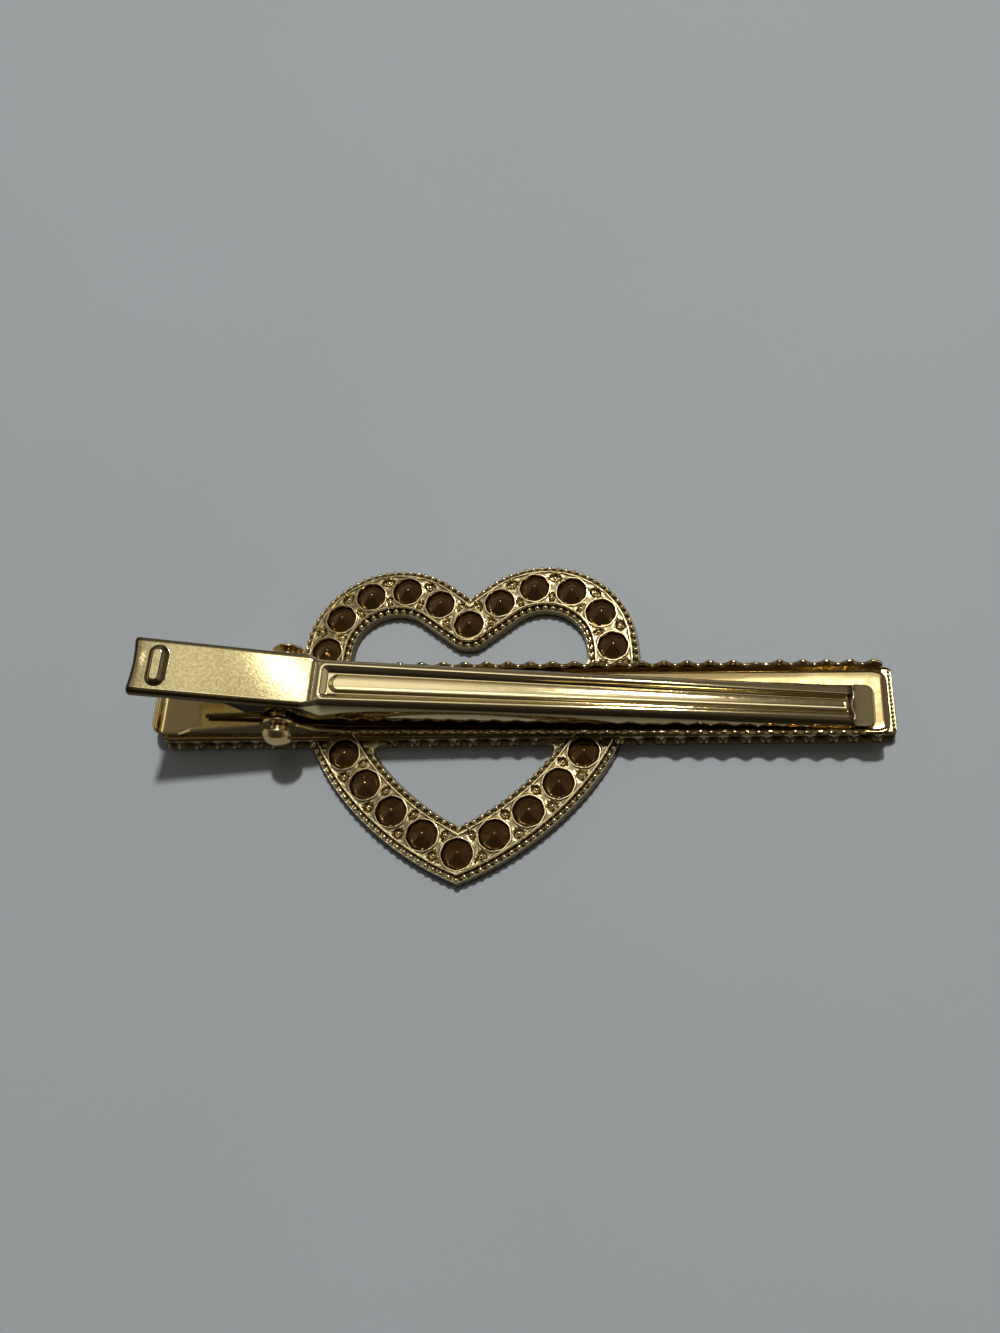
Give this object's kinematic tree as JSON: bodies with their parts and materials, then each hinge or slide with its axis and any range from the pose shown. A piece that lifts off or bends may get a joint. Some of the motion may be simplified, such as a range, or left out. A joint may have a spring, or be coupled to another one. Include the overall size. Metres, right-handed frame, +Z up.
{
  "type": "hair clip",
  "caption": "Gold-plated sprung hair clip with toothed jaw and thumb tab, bonded behind a long bar crossed by an open heart set with stones.",
  "frame": {"origin": "middle of the object's outline in plan, on the surface that the jewelled front lies on", "axes": "+X along the bar from the tail to the jaw tip, +Y from the heart's point to its lobes, +Z up from the jewelled front to the clip's back"},
  "size_m": [0.0764, 0.0346, 0.012],
  "materials": {
    "gold_casting": "gold-plated zinc casting with bright beaded edges",
    "crystal": "foil-backed cut glass",
    "gold_sheet": "gold-plated pressed steel sheet, satin on the thumb tab",
    "gold_rivet": "gold-plated, bright dome",
    "spring_wire": "drawn spring wire"
  },
  "bodies": {
    "clip_base": {"front_frame": "gold_casting", "lower_arm": "gold_sheet", "pivot_rivet": "gold_rivet", "torsion_spring": "spring_wire", "heart_stone_01": "crystal", "heart_stone_02": "crystal", "heart_stone_03": "crystal", "heart_stone_04": "crystal", "heart_stone_05": "crystal", "heart_stone_06": "crystal", "heart_stone_07": "crystal", "heart_stone_08": "crystal", "heart_stone_09": "crystal", "heart_stone_10": "crystal", "heart_stone_11": "crystal", "heart_stone_12": "crystal", "heart_stone_13": "crystal", "heart_stone_14": "crystal", "heart_stone_15": "crystal", "heart_stone_16": "crystal", "heart_stone_17": "crystal", "heart_stone_18": "crystal", "heart_stone_19": "crystal", "heart_stone_20": "crystal", "bar_stone_01": "crystal", "bar_stone_02": "crystal", "bar_stone_03": "crystal", "bar_stone_04": "crystal", "bar_stone_05": "crystal", "bar_stone_06": "crystal", "bar_stone_07": "crystal", "bar_stone_08": "crystal", "bar_stone_09": "crystal", "bar_stone_10": "crystal", "bar_stone_11": "crystal", "bar_stone_12": "crystal", "bar_stone_13": "crystal", "bar_stone_14": "crystal", "bar_stone_15": "crystal", "bar_stone_16": "crystal", "bar_stone_17": "crystal", "bar_stone_18": "crystal", "bar_stone_19": "crystal", "bar_stone_20": "crystal", "bar_stone_21": "crystal", "bar_stone_22": "crystal", "bar_stone_23": "crystal", "bar_stone_24": "crystal", "bar_stone_25": "crystal", "bar_stone_26": "crystal", "bar_stone_27": "crystal", "bar_stone_28": "crystal", "bar_stone_29": "crystal", "bar_stone_30": "crystal", "bar_stone_31": "crystal", "bar_stone_32": "crystal"},
    "upper_jaw": {"upper_arm": "gold_sheet"}
  },
  "joints": [
    {"name": "jaw_pivot", "type": "hinge", "parent": "clip_base", "child": "upper_jaw", "pos_m": [-0.02317, 0.00134, 0.00477], "axis": [0, -1, 0], "range_deg": [0, 32], "stiffness_Nm_per_rad": 0.12, "springref_deg": -18.91, "deforming": ["torsion_spring"]}
  ]
}
